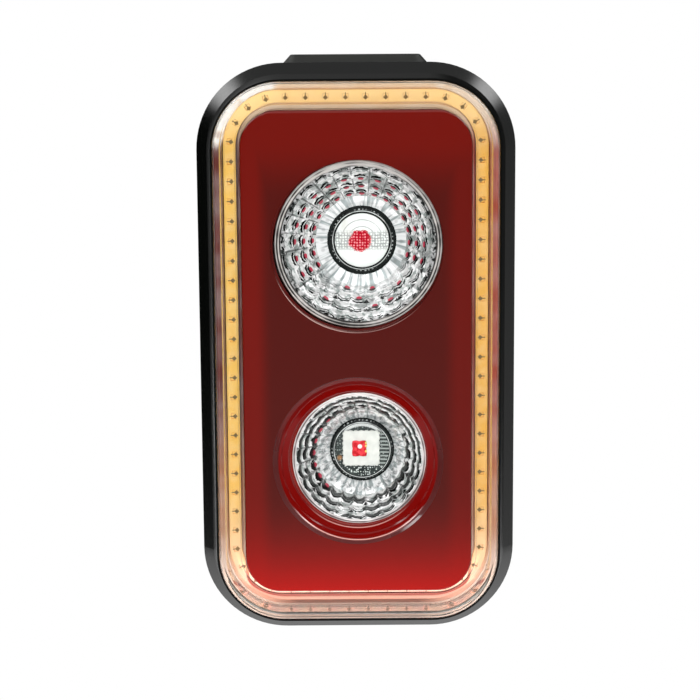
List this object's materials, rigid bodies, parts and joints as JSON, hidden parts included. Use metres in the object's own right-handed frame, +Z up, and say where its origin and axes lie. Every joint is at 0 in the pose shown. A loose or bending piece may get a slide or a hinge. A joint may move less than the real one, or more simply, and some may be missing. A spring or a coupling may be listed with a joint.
{
  "type": "bicycle tail light",
  "caption": "Upright bicycle rear light with a framed red panel, round faceted optics, a glowing border strip, a top button and a quarter-turn seat post mount.",
  "frame": {"origin": "on the seat post's axis at the middle of the clamp's height", "axes": "+Z up along the seat post, -Y the way the lens shines, +X to the right of someone who looks at the lens"},
  "size_m": [0.0412, 0.0656, 0.0698],
  "materials": {
    "housing_black": "satin",
    "bezel_black": "gloss",
    "lens_clear": "polished",
    "panel_red": "gloss",
    "optic_clear": "polished",
    "frame_white": "satin",
    "coating_yellow": "satin",
    "board_white": "solder mask",
    "board_green": "solder mask",
    "chip_brown": "moulded",
    "led_red": "moulded",
    "component_black": "moulded",
    "spreader_aluminium": "mill",
    "cell_foil": "laminated foil",
    "foam_grey": "foam",
    "silicone_black": "matt",
    "wire_red": "satin",
    "steel_bright": "bright",
    "steel_black": "black oxide",
    "bracket_black": "fine grain"
  },
  "bodies": {
    "mount": {"post_bracket": "bracket_black", "saddle_pad": "silicone_black", "post_strap": "silicone_black"},
    "light": {"rear_housing": "housing_black", "front_bezel": "bezel_black", "front_gasket": "silicone_black", "clear_lens": "lens_clear", "red_panel": "panel_red", "upper_optic": "optic_clear", "lower_optic": "optic_clear", "upper_optic_holder": "frame_white", "lower_optic_holder": "frame_white", "upper_led": "led_red", "lower_led": "led_red", "inner_frame": "frame_white", "strip_board": "board_white", "strip_chips": "chip_brown", "strip_coating": "coating_yellow", "led_board": "board_white", "heat_spreader": "spreader_aluminium", "battery_pad": "foam_grey", "battery_cell": "cell_foil", "control_board": "board_green", "controller_parts": "component_black", "usb_socket": "steel_bright", "button_board": "board_green", "tact_switch": "component_black", "button_seal": "silicone_black", "housing_screws": "steel_black", "board_screws": "steel_bright", "control_screws": "steel_bright", "foot_screws": "steel_bright", "internal_wires": "wire_red", "bayonet_foot": "bracket_black"},
    "button": {"button_cap": "silicone_black", "switch_plunger": "component_black"},
    "charging_cover": {"usb_cover": "silicone_black"}
  },
  "joints": [
    {"name": "light_twist", "type": "hinge", "parent": "mount", "child": "light", "pos_m": [0, -0.0205, 0], "axis": [0, -1, 0], "range_deg": [0, 90]},
    {"name": "button_press", "type": "slide", "parent": "light", "child": "button", "axis": [0, 0, -1], "range_m": [0, 0.0005], "stiffness_N_per_m": 1500, "springref_m": -0.0003},
    {"name": "cover_hinge", "type": "hinge", "parent": "light", "child": "charging_cover", "pos_m": [0, -0.03365, -0.03294], "axis": [-1, 0, 0], "range_deg": [0, 90]}
  ]
}
